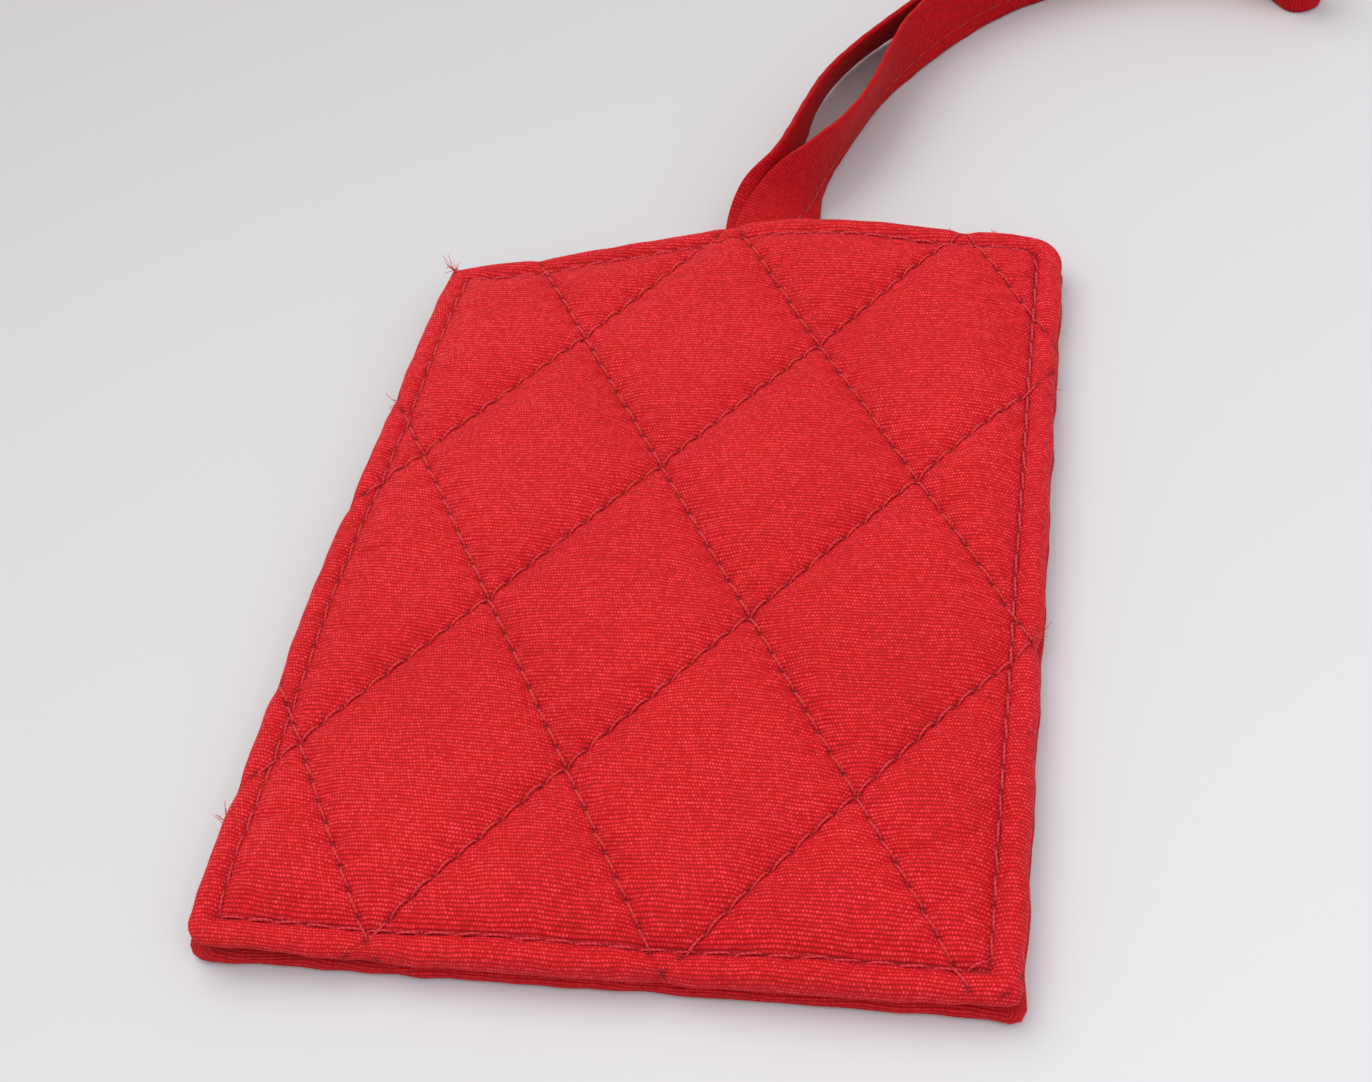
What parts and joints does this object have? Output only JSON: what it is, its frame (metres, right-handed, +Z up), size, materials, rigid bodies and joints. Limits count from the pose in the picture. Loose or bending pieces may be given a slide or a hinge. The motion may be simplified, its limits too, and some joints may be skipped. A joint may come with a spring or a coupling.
{
  "type": "luggage tag",
  "caption": "Flat quilted fabric luggage tag with topstitched edges, a fabric strap loop at the top and a clear side-opening card pocket on its back.",
  "frame": {"origin": "on the table under the middle of the tag and its sewn-in strap ends, with the tag lying on its back", "axes": "+Z up from the table, +Y along the tag towards its strap, +X to the right as seen from the quilted front"},
  "size_m": [0.1018, 0.1511, 0.0082],
  "materials": {
    "quilted_cotton": "plain-woven red cotton, quilted",
    "back_cotton": "plain-woven red cotton",
    "strap_cotton": "folded red cotton strap",
    "binding_tape": "woven red tape",
    "lining_cloth": "thin red lining cloth",
    "interfacing": "white non-woven interfacing",
    "batting": "white polyester batting",
    "quilting_thread": "red sewing thread",
    "seam_thread": "red sewing thread",
    "clear_vinyl": "clear glossy vinyl film",
    "card_stock": "uncoated card stock"
  },
  "bodies": {
    "tag": {"front_cover": "quilted_cotton", "front_batting": "batting", "front_lining": "lining_cloth", "back_panel": "back_cotton", "back_interfacing": "interfacing", "window_film": "clear_vinyl", "mouth_binding": "binding_tape", "binding_thread": "seam_thread", "strap_tail_lower": "strap_cotton", "strap_tail_upper": "strap_cotton", "topstitch_needle_thread": "seam_thread", "topstitch_bobbin_thread": "seam_thread", "quilt_row_down_1": "quilting_thread", "quilt_row_down_2": "quilting_thread", "quilt_row_down_3": "quilting_thread", "quilt_row_down_4": "quilting_thread", "quilt_row_down_5": "quilting_thread", "quilt_row_up_1": "quilting_thread", "quilt_row_up_2": "quilting_thread", "quilt_row_up_3": "quilting_thread", "quilt_row_up_4": "quilting_thread"},
    "card": {"address_card": "card_stock"},
    "strap": {"strap_loop": "strap_cotton"}
  },
  "joints": [
    {"name": "card_slide", "type": "slide", "parent": "tag", "child": "card", "axis": [-1, 0, 0], "range_m": [0, 0.06]},
    {"name": "strap_swing", "type": "hinge", "parent": "tag", "child": "strap", "pos_m": [0.0023, 0.0483, 0.0033], "axis": [1, 0, 0], "range_deg": [0, 90]}
  ]
}
